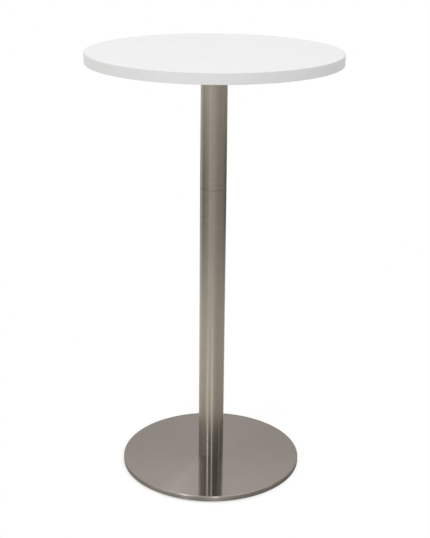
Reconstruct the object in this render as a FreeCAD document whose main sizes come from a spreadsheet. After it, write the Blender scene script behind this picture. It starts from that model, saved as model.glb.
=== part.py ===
"""Pub table: a round white top on a brushed steel column and a flat disc base.

The frame has +Z up and its origin on the floor, on the column's axis. Lengths are millimetres.
Heights stack up from the feet: glide, weight plate, cover, lower tube, extension tube, spider, top.
A long rod in two lengths runs up the middle and clamps the base, the column and the spider together.
"""

import FreeCAD
import Part
import Sketcher
import os

# Driving dimensions, one cell of the sheet each
SIZES = {
    # tabletop
    "table_height": 1050,
    "top_diameter": 600,
    "top_thickness": 25,
    "band_thickness": 2,
    "band_round": 1.5,
    # column
    "column_diameter": 63.5,
    "column_wall": 1.5,
    "column_end_break": 0.3,
    "extension_length": 295,
    "joint_line": 0.6,
    "joint_inset": 0.5,
    "joiner_length": 120,
    "joiner_wall": 3,
    "plug_clearance": 0.1,
    "plug_lead": 2,
    # spider, the steel cross under the top
    "spider_thickness": 5,
    "spider_span": 320,
    "spider_flange": 28,
    "spider_root_width": 52,
    "spider_tip_width": 36,
    "spider_root_round": 12,
    "spider_tip_round": 14,
    "spider_hub_height": 20,
    "gusset_thickness": 5,
    "gusset_height": 16,
    "gusset_toe": 4,
    "gusset_gap": 2,
    "gusset_screw_gap": 18,
    # wood screws through the spider
    "screw_tip_inset": 15,
    "screw_spacing": 33,
    "screw_shank": 5,
    "screw_head": 10,
    "screw_head_height": 3,
    "screw_head_round": 2,
    "screw_bite": 15,
    "screw_point": 4,
    "screw_hole_clearance": 0.5,
    "pilot_clearance": 0.1,
    "pilot_spare": 1,
    # tie rod and its fastenings
    "rod_diameter": 10,
    "rod_end_break": 1,
    "rod_tail": 4,
    "rod_top_inset": 1,
    "rod_meeting_gap": 1,
    "rod_hole_clearance": 0.5,
    "thread_clearance": 0.1,
    "nut_across_flats": 17,
    "nut_height": 8,
    "jam_nut_height": 5,
    "coupler_length": 40,
    "washer_diameter": 30,
    "washer_thickness": 2.5,
    "spring_washer_diameter": 18,
    "spring_washer_thickness": 2.2,
    "spring_washer_split": 1.5,
    # base
    "base_diameter": 450,
    "cover_thickness": 1.2,
    "cover_round": 3,
    "weight_thickness": 10,
    "weight_recess": 1.3,
    "weight_gap": 1,
    "weight_chamfer": 2.5,
    "base_hub_height": 25,
    "base_hub_wall": 8,
    "base_hub_web": 6,
    "base_hub_flange": 12,
    "base_hub_flange_thickness": 4,
    "base_hub_flange_clearance": 0.5,
    # levelling glides
    "foot_inset": 40,
    "foot_angle": 45,
    "foot_pad_diameter": 26,
    "foot_pad_height": 3,
    "foot_pad_round": 0.8,
    "foot_spigot": 10,
    "foot_spigot_thickness": 0.7,
    "foot_spigot_clearance": 0.3,
    "foot_neck": 8,
    "foot_lip": 0.5,
    "foot_play": 0.1,
    "foot_head_across_flats": 15,
    "foot_head_height": 3.2,
    "foot_head_clearance": 0.5,
    "foot_thread": 8,
    "foot_thread_break": 0.8,
    "foot_recess_diameter": 30,
    "foot_recess_depth": 3,
    "foot_tip_clearance": 0.5,
    "insert_diameter": 12,
    "insert_clearance": 0.05,
}

# Places and sizes that follow from the driving dimensions, each in terms of the ones above it
DERIVED = {
    "board_radius": "{top_diameter} / 2 - {band_thickness}",
    "board_bottom": "{table_height} - {top_thickness}",
    "spider_bottom": "{board_bottom} - {spider_thickness}",
    "joint_height": "{spider_bottom} - {extension_length}",
    "column_radius": "{column_diameter} / 2",
    "column_bore": "{column_radius} - {column_wall}",
    "plug_radius": "{column_bore} - {plug_clearance}",
    "spider_tip": "{spider_span} / 2",
    "screw_outer": "{spider_tip} - {screw_tip_inset}",
    "screw_inner": "{screw_outer} - {screw_spacing}",
    "gusset_start": "{column_radius} + {gusset_gap}",
    "gusset_end": "{screw_inner} - {gusset_screw_gap}",
    "rod_radius": "{rod_diameter} / 2",
    "tapped_radius": "{rod_radius} + {thread_clearance}",
    "rod_hole_radius": "{rod_radius} + {rod_hole_clearance}",
    "foot_head_bottom": "{foot_pad_height} + {foot_play}",
    "foot_spigot_bottom": "{foot_pad_height} - {foot_lip} - {foot_play} - {foot_spigot_thickness}",
    "foot_head_top": "{foot_head_bottom} + {foot_head_height}",
    "recess_roof": "{foot_head_top} + {foot_head_clearance}",
    "weight_bottom": "{recess_roof} - {foot_recess_depth}",
    "cover_bottom": "{weight_bottom} - {weight_recess}",
    "weight_top": "{weight_bottom} + {weight_thickness}",
    "cover_top": "{weight_top} + {cover_thickness}",
    "base_radius": "{base_diameter} / 2",
    "foot_radius": "{base_radius} - {foot_inset}",
    "skirt_inside": "{base_radius} - {cover_thickness}",
    "weight_radius": "{skirt_inside} - {weight_gap}",
    "flange_radius": "{plug_radius} + {base_hub_flange}",
    "hub_top": "{cover_top} + {base_hub_height}",
    "hub_web_bottom": "{hub_top} - {base_hub_web}",
    "washer_bottom": "{hub_web_bottom} - {washer_thickness}",
    "nut_top": "{washer_bottom} - {spring_washer_thickness}",
    "nut_bottom": "{nut_top} - {nut_height}",
    "rod_bottom": "{nut_bottom} - {rod_tail}",
    "rod_meeting": "{joint_height} + {joint_line} / 2",
    "rod_top": "{board_bottom} - {rod_top_inset}",
    "jam_nut_top": "{spider_bottom} - {spider_hub_height}",
    "foot_tip": "{weight_top} - {foot_tip_clearance}",
}

FOOT_COUNT = 4
ARM_COUNT = 4
TOLERANCE = 1e-4

doc = FreeCAD.newDocument("PubTable")
sheet = doc.addObject("Spreadsheet::Sheet", "Sizes")
for row, (alias, number) in enumerate(SIZES.items(), start=1):
    sheet.set(f"A{row}", alias.replace("_", " "))
    sheet.set(f"B{row}", str(number))
    sheet.setAlias(f"B{row}", alias)
doc.recompute()

TERMS = {alias: f"Sizes.{alias}" for alias in SIZES}
for term, formula in DERIVED.items():
    TERMS[term] = f"({formula.format(**TERMS)})"

sub_parts = []


def expression(text):
    """A formula in plain names as an expression on the sheet's cells."""
    return text.format(**TERMS)


def value(text):
    """What a formula comes to now, in millimetres."""
    return float(sheet.evalExpression(expression(text)))


# Sketches

def new_body(label):
    """An empty body with that label. Separate solids in one body are allowed."""
    body = doc.addObject("PartDesign::Body", label)
    body.Label = label
    body.AllowCompound = True
    sub_parts.append(body)
    return body


def new_sketch(body, role, height=None):
    """A sketch on one of the body's own origin planes, or that far along the plane's normal."""
    sketch = body.newObject("Sketcher::SketchObject", "Sketch")
    plane = next(item for item in body.Origin.OriginFeatures if item.Role == role)
    sketch.AttachmentSupport = [(plane, "")]
    sketch.MapMode = "FlatFace"
    if height:
        sketch.setExpression("AttachmentOffset.Base.z", expression(height))
    return sketch


def fix_point(sketch, geometry, vertex, x, y):
    """Ties a point of the sketch to the place that two formulas give."""
    for kind, formula in (("DistanceX", x), ("DistanceY", y)):
        constraint = Sketcher.Constraint(kind, geometry, vertex, value(formula))
        index = sketch.addConstraint(constraint)
        sketch.setExpression(f"Constraints[{index}]", expression(formula))


def draw_polygon(sketch, corners):
    """A closed outline with straight sides through corners given as formulas."""
    points = [FreeCAD.Vector(value(x), value(y), 0) for x, y in corners]
    count = len(corners)
    lines = []
    for index, start in enumerate(points):
        side = Part.LineSegment(start, points[(index + 1) % count])
        lines.append(sketch.addGeometry(side, False))
    for index, line in enumerate(lines):
        sketch.addConstraint(Sketcher.Constraint("Coincident", line, 2, lines[(index + 1) % count], 1))
    for line, (x, y) in zip(lines, corners):
        fix_point(sketch, line, 1, x, y)


def draw_circle(sketch, radius, x="0", y="0"):
    """A circle whose centre and radius are formulas."""
    centre = FreeCAD.Vector(value(x), value(y), 0)
    circle = sketch.addGeometry(Part.Circle(centre, FreeCAD.Vector(0, 0, 1), value(radius)), False)
    fix_point(sketch, circle, 3, x, y)
    index = sketch.addConstraint(Sketcher.Constraint("Radius", circle, value(radius)))
    sketch.setExpression(f"Constraints[{index}]", expression(radius))


def draw_axis(sketch, x, low, high):
    """An upright construction line, for turning a profile about it."""
    ends = [FreeCAD.Vector(value(x), value(y), 0) for y in (low, high)]
    line = sketch.addGeometry(Part.LineSegment(*ends), True)
    fix_point(sketch, line, 1, x, low)
    fix_point(sketch, line, 2, x, high)


def hexagon(across_flats):
    """Corners of a hexagon about the origin, with two of its flats facing along X."""
    radius = f"{across_flats} / sqrt(3)"
    return [(f"{radius} * cos({turn}deg)", f"{radius} * sin({turn}deg)") for turn in range(30, 390, 60)]


# Features

def turn(body, corners, axis=None):
    """A profile in the XZ plane, turned about the body's Z axis or about an upright line at axis."""
    sketch = new_sketch(body, "XZ_Plane")
    draw_polygon(sketch, corners)
    if axis:
        draw_axis(sketch, axis, corners[0][1], corners[-1][1])
    feature = body.newObject("PartDesign::Revolution", "Turned")
    feature.Profile = sketch
    feature.ReferenceAxis = (sketch, ["Axis0" if axis else "V_Axis"])
    doc.recompute()
    return feature


def pad(body, sketch, length, midplane=False):
    """Extrudes a sketch along its normal, or evenly to both sides of its plane."""
    feature = body.newObject("PartDesign::Pad", "Pad")
    feature.Profile = sketch
    feature.Midplane = midplane
    feature.setExpression("Length", expression(length))
    doc.recompute()
    return feature


def pocket(body, sketch, depth):
    """Cuts a sketch on the XY plane, or above it, upwards into the body."""
    before = body.Shape.Volume
    feature = body.newObject("PartDesign::Pocket", "Pocket")
    feature.Profile = sketch
    feature.Reversed = True
    feature.setExpression("Length", expression(depth))
    doc.recompute()
    if body.Shape.Volume > before - TOLERANCE:
        raise RuntimeError(f"a pocket in {body.Label} cut nothing")
    return feature


def polar(body, features, count):
    """Repeats features evenly round the body's Z axis."""
    pattern = body.newObject("PartDesign::PolarPattern", "Pattern")
    pattern.Originals = features
    axis = next(item for item in body.Origin.OriginFeatures if item.Role == "Z_Axis")
    pattern.Axis = (axis, [""])
    pattern.Angle = 360
    pattern.Occurrences = count
    body.Tip = pattern
    doc.recompute()
    return pattern


def dress(body, kind, size, pick):
    """Rounds ("Fillet") or bevels ("Chamfer") the edges of the body that pick chooses."""
    base = body.Tip
    names = [f"Edge{number}" for number, edge in enumerate(base.Shape.Edges, start=1) if pick(edge)]
    if not names:
        raise RuntimeError(f"no edge of {body.Label} to dress")
    feature = body.newObject(f"PartDesign::{kind}", kind)
    feature.Base = (base, names)
    feature.setExpression("Radius" if kind == "Fillet" else "Size", expression(size))
    doc.recompute()
    return feature


def ring_edges(*places):
    """Picks circular edges by radius and height, each a pair of formulas."""
    wanted = [(value(radius), value(height)) for radius, height in places]

    def pick(edge):
        if not isinstance(edge.Curve, Part.Circle):
            return False
        radius, height = edge.Curve.Radius, edge.Curve.Center.z
        return any(abs(radius - r) < TOLERANCE and abs(height - z) < TOLERANCE for r, z in wanted)

    return pick


def upright_edges(radius):
    """Picks straight edges along Z by their distance from the axis, given as a formula."""
    wanted = value(radius)

    def pick(edge):
        if not isinstance(edge.Curve, Part.Line):
            return False
        start, end = (vertex.Point for vertex in edge.Vertexes)
        upright = abs(start.x - end.x) + abs(start.y - end.y) < TOLERANCE
        return upright and abs((start.x ** 2 + start.y ** 2) ** 0.5 - wanted) < TOLERANCE

    return pick


def place(body, height, radius=None, angle=0):
    """Sets a body at a height and, off the axis, at a radius and an angle in degrees round it."""
    body.setExpression("Placement.Base.z", expression(height))
    if radius:
        turned = f"({{foot_angle}} + {angle}) * 1deg"
        body.setExpression("Placement.Base.x", expression(f"{radius} * cos({turned})"))
        body.setExpression("Placement.Base.y", expression(f"{radius} * sin({turned})"))


# Tabletop

def make_top_board():
    """Faced particle board with two blind pilot holes over each arm of the spider."""
    body = new_body("top_board")
    outline = new_sketch(body, "XY_Plane")
    draw_circle(outline, "{board_radius}")
    pad(body, outline, "{top_thickness}")
    pilots = new_sketch(body, "XY_Plane")
    for radius in ("{screw_outer}", "{screw_inner}"):
        draw_circle(pilots, "{screw_shank} / 2 + {pilot_clearance}", radius)
    holes = pocket(body, pilots, "{screw_bite} + {pilot_spare}")
    polar(body, [holes], ARM_COUNT)
    place(body, "{board_bottom}")


def make_edge_band():
    """Plastic edging bonded round the board, with its two outer corners rounded."""
    body = new_body("edge_band")
    outside = "{top_diameter} / 2"
    turn(body, [
        ("{board_radius}", "0"),
        (outside, "0"),
        (outside, "{top_thickness}"),
        ("{board_radius}", "{top_thickness}"),
    ])
    dress(body, "Fillet", "{band_round}", ring_edges((outside, "0"), (outside, "{top_thickness}")))
    place(body, "{board_bottom}")


# Spider

def make_spider_plate():
    """Steel cross: a round centre, four tapered arms and a welded gusset under each arm."""
    body = new_body("spider_plate")
    centre = new_sketch(body, "XY_Plane")
    draw_circle(centre, "{column_radius} + {spider_flange}")
    pad(body, centre, "{spider_thickness}")

    arm_outline = new_sketch(body, "XY_Plane")
    draw_polygon(arm_outline, [
        ("0", "-{spider_root_width} / 2"),
        ("{spider_tip}", "-{spider_tip_width} / 2"),
        ("{spider_tip}", "{spider_tip_width} / 2"),
        ("0", "{spider_root_width} / 2"),
    ])
    arm = pad(body, arm_outline, "{spider_thickness}")

    gusset_outline = new_sketch(body, "XZ_Plane")
    draw_polygon(gusset_outline, [
        ("{gusset_start}", "0"),
        ("{gusset_start}", "-{gusset_height}"),
        ("{gusset_end}", "-{gusset_toe}"),
        ("{gusset_end}", "0"),
    ])
    gusset = pad(body, gusset_outline, "{gusset_thickness}", midplane=True)

    screw_holes = new_sketch(body, "XY_Plane")
    for radius in ("{screw_outer}", "{screw_inner}"):
        draw_circle(screw_holes, "{screw_shank} / 2 + {screw_hole_clearance}", radius)
    holes = pocket(body, screw_holes, "{spider_thickness}")
    polar(body, [arm, gusset, holes], ARM_COUNT)

    rod_hole = new_sketch(body, "XY_Plane")
    draw_circle(rod_hole, "{rod_hole_radius}")
    pocket(body, rod_hole, "{spider_thickness}")
    dress(body, "Fillet", "{spider_root_round}", upright_edges("{column_radius} + {spider_flange}"))
    tip_corner = "sqrt({spider_tip} ^ 2 + ({spider_tip_width} / 2) ^ 2)"
    dress(body, "Fillet", "{spider_tip_round}", upright_edges(tip_corner))
    place(body, "{spider_bottom}")


def make_spider_hub():
    """Turned plug under the spider that centres the column and takes the rod's upper thread."""
    body = new_body("spider_hub")
    turn(body, [
        ("{tapped_radius}", "0"),
        ("{plug_radius}", "0"),
        ("{plug_radius}", "{spider_hub_height}"),
        ("{tapped_radius}", "{spider_hub_height}"),
    ])
    dress(body, "Chamfer", "{plug_lead}", ring_edges(("{plug_radius}", "0")))
    place(body, "{jam_nut_top}")


def make_spider_screws():
    """Wood screws, two to an arm, with their pan heads against the underside of the spider."""
    body = new_body("spider_screws")
    length = "{spider_thickness} + {screw_bite}"
    screws = []
    for radius in ("{screw_outer}", "{screw_inner}"):
        head_side = f"{radius} + {{screw_head}} / 2"
        shank_side = f"{radius} + {{screw_shank}} / 2"
        screws.append(turn(body, [
            (radius, "-{screw_head_height}"),
            (head_side, "-{screw_head_height}"),
            (head_side, "0"),
            (shank_side, "0"),
            (shank_side, f"{length} - {{screw_point}}"),
            (radius, length),
        ], axis=radius))
    polar(body, screws, ARM_COUNT)
    dress(body, "Fillet", "{screw_head_round}", ring_edges(("{screw_head} / 2", "-{screw_head_height}")))
    place(body, "{spider_bottom}")


# Column

def make_tube(label, bottom, top):
    """A length of column tube with the sharp edges of its two ends broken."""
    body = new_body(label)
    length = f"({top} - {bottom})"
    turn(body, [
        ("{column_bore}", "0"),
        ("{column_radius}", "0"),
        ("{column_radius}", length),
        ("{column_bore}", length),
    ])
    ends = ring_edges(("{column_radius}", "0"), ("{column_radius}", length))
    dress(body, "Chamfer", "{column_end_break}", ends)
    place(body, bottom)


def make_column_joiner():
    """Sleeve inside the two tubes. Its thin shoulder shows between them as the hairline joint."""
    body = new_body("column_joiner")
    inside = "{plug_radius} - {joiner_wall}"
    shoulder = "{column_radius} - {joint_inset}"
    turn(body, [
        (inside, "-{joiner_length} / 2"),
        ("{plug_radius}", "-{joiner_length} / 2"),
        ("{plug_radius}", "0"),
        (shoulder, "0"),
        (shoulder, "{joint_line}"),
        ("{plug_radius}", "{joint_line}"),
        ("{plug_radius}", "{joiner_length} / 2"),
        (inside, "{joiner_length} / 2"),
    ])
    place(body, "{joint_height}")


# Tie rod and its fastenings

def make_rod(label, bottom, top):
    """A length of round rod with bevelled ends."""
    body = new_body(label)
    section = new_sketch(body, "XY_Plane")
    draw_circle(section, "{rod_radius}")
    length = f"({top} - {bottom})"
    pad(body, section, length)
    dress(body, "Chamfer", "{rod_end_break}", ring_edges(("{rod_radius}", "0"), ("{rod_radius}", length)))
    place(body, bottom)


def make_hex_nut(label, height, bottom):
    """A hexagon nut on the rod, with its bore bevelled at both faces."""
    body = new_body(label)
    section = new_sketch(body, "XY_Plane")
    draw_polygon(section, hexagon("{nut_across_flats}"))
    draw_circle(section, "{tapped_radius}")
    pad(body, section, height)
    mouths = ring_edges(("{tapped_radius}", "0"), ("{tapped_radius}", height))
    dress(body, "Chamfer", "{rod_end_break} / 2", mouths)
    place(body, bottom)


def make_washer():
    """Broad flat washer under the base hub's web."""
    body = new_body("rod_washer")
    section = new_sketch(body, "XY_Plane")
    draw_circle(section, "{washer_diameter} / 2")
    draw_circle(section, "{rod_hole_radius}")
    pad(body, section, "{washer_thickness}")
    place(body, "{washer_bottom}")


def make_spring_washer():
    """Split lock washer between the flat washer and the nut."""
    body = new_body("rod_spring_washer")
    section = new_sketch(body, "XY_Plane")
    draw_circle(section, "{spring_washer_diameter} / 2")
    draw_circle(section, "{rod_hole_radius}")
    pad(body, section, "{spring_washer_thickness}")
    split = new_sketch(body, "XY_Plane")
    draw_polygon(split, [
        ("0", "-{spring_washer_split} / 2"),
        ("{spring_washer_diameter}", "-{spring_washer_split} / 2"),
        ("{spring_washer_diameter}", "{spring_washer_split} / 2"),
        ("0", "{spring_washer_split} / 2"),
    ])
    pocket(body, split, "{spring_washer_thickness}")
    place(body, "{nut_top}")


# Base

def make_base_cover():
    """Pressed stainless sheet: a flat disc with a hole for the hub and a turned-down rounded skirt."""
    body = new_body("base_cover")
    top = "({cover_top} - {cover_bottom})"
    under = f"({top} - {{cover_thickness}})"
    turn(body, [
        ("{column_bore}", top),
        ("{base_radius}", top),
        ("{base_radius}", "0"),
        ("{skirt_inside}", "0"),
        ("{skirt_inside}", under),
        ("{column_bore}", under),
    ])
    dress(body, "Fillet", "{cover_round}", ring_edges(("{base_radius}", top)))
    dress(body, "Fillet", "{cover_round} - {cover_thickness}", ring_edges(("{skirt_inside}", under)))
    place(body, "{cover_bottom}")


def make_base_weight():
    """Steel ballast plate with a seat for the hub's flange and four recesses for the glides."""
    body = new_body("base_weight")
    outline = new_sketch(body, "XY_Plane")
    draw_circle(outline, "{weight_radius}")
    pad(body, outline, "{weight_thickness}")
    dress(body, "Chamfer", "{weight_chamfer}", ring_edges(("{weight_radius}", "{weight_thickness}")))

    bore = new_sketch(body, "XY_Plane")
    draw_circle(bore, "{column_bore}")
    pocket(body, bore, "{weight_thickness}")
    seat = new_sketch(body, "XY_Plane")
    draw_circle(seat, "{flange_radius} + {base_hub_flange_clearance}")
    pocket(body, seat, "{base_hub_flange_thickness}")

    recess_outline = new_sketch(body, "XY_Plane")
    draw_circle(recess_outline, "{foot_recess_diameter} / 2", "{foot_radius}")
    recess = pocket(body, recess_outline, "{foot_recess_depth}")
    hole_outline = new_sketch(body, "XY_Plane")
    draw_circle(hole_outline, "{insert_diameter} / 2 + {insert_clearance}", "{foot_radius}")
    hole = pocket(body, hole_outline, "{weight_thickness}")
    polar(body, [recess, hole], FOOT_COUNT)
    place(body, "{weight_bottom}")
    body.setExpression("Placement.Rotation.Angle", expression("{foot_angle} * 1deg"))


def make_base_hub():
    """Flanged cup, pushed up through the plate and the cover, that centres the column on the base."""
    body = new_body("base_hub")
    cup = "{plug_radius} - {base_hub_wall}"
    top = "({hub_top} - {weight_bottom})"
    web = "({hub_web_bottom} - {weight_bottom})"
    turn(body, [
        (cup, "0"),
        ("{flange_radius}", "0"),
        ("{flange_radius}", "{base_hub_flange_thickness}"),
        ("{plug_radius}", "{base_hub_flange_thickness}"),
        ("{plug_radius}", top),
        ("{rod_hole_radius}", top),
        ("{rod_hole_radius}", web),
        (cup, web),
    ])
    dress(body, "Chamfer", "{plug_lead}", ring_edges(("{plug_radius}", top)))
    place(body, "{weight_bottom}")


# Levelling glides

def make_foot_inserts():
    """Tapped bushes pressed into the plate, one over each glide."""
    body = new_body("foot_inserts")
    section = new_sketch(body, "XY_Plane")
    draw_circle(section, "{insert_diameter} / 2", "{foot_radius}")
    draw_circle(section, "{foot_thread} / 2 + {thread_clearance}", "{foot_radius}")
    bush = pad(body, section, "{weight_thickness} - {foot_recess_depth} - {foot_tip_clearance}")
    polar(body, [bush], FOOT_COUNT)
    place(body, "{recess_roof}")
    body.setExpression("Placement.Rotation.Angle", expression("{foot_angle} * 1deg"))


def make_foot_pad(number, angle):
    """Nylon glide that rests on the floor. The lip of its socket snaps over the stud's spigot."""
    body = new_body(f"foot_pad_{number}")
    edge = "{foot_pad_diameter} / 2"
    mouth = "({foot_neck} / 2 + {foot_spigot_clearance})"
    socket = "({foot_spigot} / 2 + {foot_spigot_clearance})"
    roof = "({foot_pad_height} - {foot_lip})"
    floor = "({foot_spigot_bottom} - {foot_play})"
    turn(body, [
        ("0", "0"),
        (edge, "0"),
        (edge, "{foot_pad_height}"),
        (mouth, "{foot_pad_height}"),
        (mouth, roof),
        (socket, roof),
        (socket, floor),
        ("0", floor),
    ])
    dress(body, "Fillet", "{foot_pad_round}", ring_edges((edge, "0"), (edge, "{foot_pad_height}")))
    place(body, "0", "{foot_radius}", angle)


def make_foot_stud(number, angle):
    """Steel stud with a necked spigot in the glide, a spanner hexagon and a thread in the bush."""
    body = new_body(f"foot_stud_{number}")
    bottom = "({foot_spigot_bottom} - {foot_head_bottom})"
    turn(body, [
        ("0", "0"),
        ("0", bottom),
        ("{foot_spigot} / 2", bottom),
        ("{foot_spigot} / 2", f"{bottom} + {{foot_spigot_thickness}}"),
        ("{foot_neck} / 2", f"{bottom} + {{foot_spigot_thickness}}"),
        ("{foot_neck} / 2", "0"),
    ])
    head = new_sketch(body, "XY_Plane")
    draw_polygon(head, hexagon("{foot_head_across_flats}"))
    pad(body, head, "{foot_head_height}")
    thread = new_sketch(body, "XY_Plane", "{foot_head_height}")
    draw_circle(thread, "{foot_thread} / 2")
    pad(body, thread, "{foot_tip} - {foot_head_top}")
    tip = ring_edges(("{foot_thread} / 2", "{foot_tip} - {foot_head_bottom}"))
    dress(body, "Chamfer", "{foot_thread_break}", tip)
    place(body, "{foot_head_bottom}", "{foot_radius}", angle)


def make_table():
    """All the sub-parts, from the top down."""
    make_top_board()
    make_edge_band()
    make_spider_plate()
    make_spider_hub()
    make_spider_screws()
    make_tube("upper_column_tube", "({joint_height} + {joint_line})", "{spider_bottom}")
    make_tube("lower_column_tube", "{cover_top}", "{joint_height}")
    make_column_joiner()
    make_rod("upper_tie_rod", "({rod_meeting} + {rod_meeting_gap} / 2)", "{rod_top}")
    make_rod("lower_tie_rod", "{rod_bottom}", "({rod_meeting} - {rod_meeting_gap} / 2)")
    make_hex_nut("rod_coupler", "{coupler_length}", "{rod_meeting} - {coupler_length} / 2")
    make_hex_nut("rod_jam_nut", "{jam_nut_height}", "{jam_nut_top} - {jam_nut_height}")
    make_washer()
    make_spring_washer()
    make_hex_nut("rod_nut", "{nut_height}", "{nut_bottom}")
    make_base_cover()
    make_base_weight()
    make_base_hub()
    make_foot_inserts()
    for index in range(FOOT_COUNT):
        angle = index * 360 // FOOT_COUNT
        make_foot_pad(index + 1, angle)
        make_foot_stud(index + 1, angle)
    doc.recompute()


def check_table():
    """Stops unless every object of the document is sound and every sub-part is a valid solid."""
    for item in doc.Objects:
        if "Invalid" in item.State or "Error" in item.State:
            raise RuntimeError(f"{item.Name} failed: {item.State}")
    for body in sub_parts:
        shape = body.Shape
        if shape.isNull() or not shape.isValid() or not shape.Solids:
            raise RuntimeError(f"{body.Label} isn't a valid solid")


def write_table(folder):
    """One STEP file for each sub-part, named by its label."""
    os.makedirs(folder, exist_ok=True)
    for body in sub_parts:
        body.Shape.exportStep(os.path.join(folder, f"{body.Label}.step"))
        print(f"{body.Label}: {len(body.Shape.Solids)} solids, {body.Shape.Volume / 1000:.2f} cm3")


make_table()
check_table()
write_table("parts")
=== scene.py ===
# %% [markdown]
# # A pub table, dressed for its photograph
#
# The real table is a white round top on one brushed stainless column and a flat weighted disc. The
# measured model arrives as a frame of named pieces in metres, with the floor at z = 0 and the
# column on the Z axis. This lesson gives each piece its surface. The frame is loaded first, because
# most sizes and places are read from it.

# %% Load the measured table
import math
import bpy
from mathutils import Matrix, Vector


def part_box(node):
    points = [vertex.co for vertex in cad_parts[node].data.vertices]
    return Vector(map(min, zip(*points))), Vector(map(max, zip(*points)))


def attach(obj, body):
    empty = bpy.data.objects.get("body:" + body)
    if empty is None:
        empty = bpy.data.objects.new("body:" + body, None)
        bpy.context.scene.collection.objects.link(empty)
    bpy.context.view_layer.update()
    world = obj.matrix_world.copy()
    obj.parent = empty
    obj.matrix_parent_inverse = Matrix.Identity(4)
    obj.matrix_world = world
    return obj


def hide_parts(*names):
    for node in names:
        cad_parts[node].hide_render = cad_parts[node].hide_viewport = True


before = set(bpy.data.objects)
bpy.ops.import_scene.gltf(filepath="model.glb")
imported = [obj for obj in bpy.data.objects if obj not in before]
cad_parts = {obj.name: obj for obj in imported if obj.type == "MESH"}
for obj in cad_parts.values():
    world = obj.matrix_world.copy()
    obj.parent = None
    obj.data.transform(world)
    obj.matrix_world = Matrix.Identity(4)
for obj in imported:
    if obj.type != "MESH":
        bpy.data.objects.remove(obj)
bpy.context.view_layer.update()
MM = 0.001

# %% [markdown]
# ## The camera
#
# The photograph was taken a little above the table with a lens of about 75 mm. Its place was found
# by laying the outlines of the top, the column and the base over the picture. The three turns are
# written in the order that a photographer makes them: tilt down, turn aside, and a slight roll of
# the camera in the hand.

# %% Camera
PHOTO_HEIGHT_PX = 538
FOCAL_PX = 1125
SENSOR_MM = 36
CAMERA_PLACE = Vector((0, -2.6034, 1.4377))
CAMERA_TILT_DOWN = math.radians(19.439)
CAMERA_TURN_RIGHT = 0.0022
CAMERA_ROLL = 0.0096

camera = bpy.data.objects.new("camera", bpy.data.cameras.new("camera"))
bpy.context.scene.collection.objects.link(camera)
camera.data.sensor_width = SENSOR_MM
camera.data.lens = FOCAL_PX / PHOTO_HEIGHT_PX * SENSOR_MM
camera.matrix_world = (
    Matrix.Translation(CAMERA_PLACE)
    @ Matrix.Rotation(math.pi / 2 - CAMERA_TILT_DOWN, 4, "X")
    @ Matrix.Rotation(-CAMERA_TURN_RIGHT, 4, "Y")
    @ Matrix.Rotation(CAMERA_ROLL, 4, "Z")
)
bpy.context.scene.camera = camera
bpy.context.scene.view_settings.view_transform = "Standard"
print("lens", round(camera.data.lens, 2), "mm")

# %% [markdown]
# ## Shader sums as Python sums
#
# A procedural finish is a web of small nodes. Written by hand it is hard to read, so one small
# class wraps an output socket and lets Python's own operators add the Math nodes. A second class
# holds a node tree and adds every other kind of node through one method.

# %% Sums of sockets
class Term:
    """An output socket that takes part in Python sums."""

    def __init__(self, web, socket):
        self.web = web
        self.socket = socket

    def maths(self, operation, *terms):
        return self.web.node("ShaderNodeMath", {"operation": operation}, dict(enumerate(terms)))

    def __add__(self, other):
        return self.maths("ADD", self, other)

    def __sub__(self, other):
        return self.maths("SUBTRACT", self, other)

    def __rsub__(self, other):
        return self.maths("SUBTRACT", other, self)

    def __mul__(self, other):
        return self.maths("MULTIPLY", self, other)

    def __truediv__(self, other):
        return self.maths("DIVIDE", self, other)

    def __pow__(self, other):
        return self.maths("POWER", self, other)

    def at_most(self, other):
        return self.maths("MINIMUM", self, other)

    def at_least(self, other):
        return self.maths("MAXIMUM", self, other)

    __radd__ = __add__
    __rmul__ = __mul__


class Web:
    """A node tree, with one method for any node in it."""

    def __init__(self, tree):
        self.tree = tree

    def node(self, kind, settings=None, inputs=None, output=0):
        """Adds a node, makes its settings, then fills its sockets with numbers or links."""
        node = self.tree.nodes.new(kind)
        for name, setting in (settings or {}).items():
            setattr(node, name, setting)
        for socket, given in (inputs or {}).items():
            self.feed(node.inputs[socket], given)
        return Term(self, node.outputs[output])

    def feed(self, socket, given):
        if isinstance(given, Term):
            self.tree.links.new(given.socket, socket)
        else:
            socket.default_value = given


print("socket sums ready")

# %% [markdown]
# A finish is such a web with a material round it. It starts with what most textures need: the place
# on the object, and the distance from the table's axis. Marks that a lathe or a belt leaves run
# round that axis, so there is a place for those too.

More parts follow.
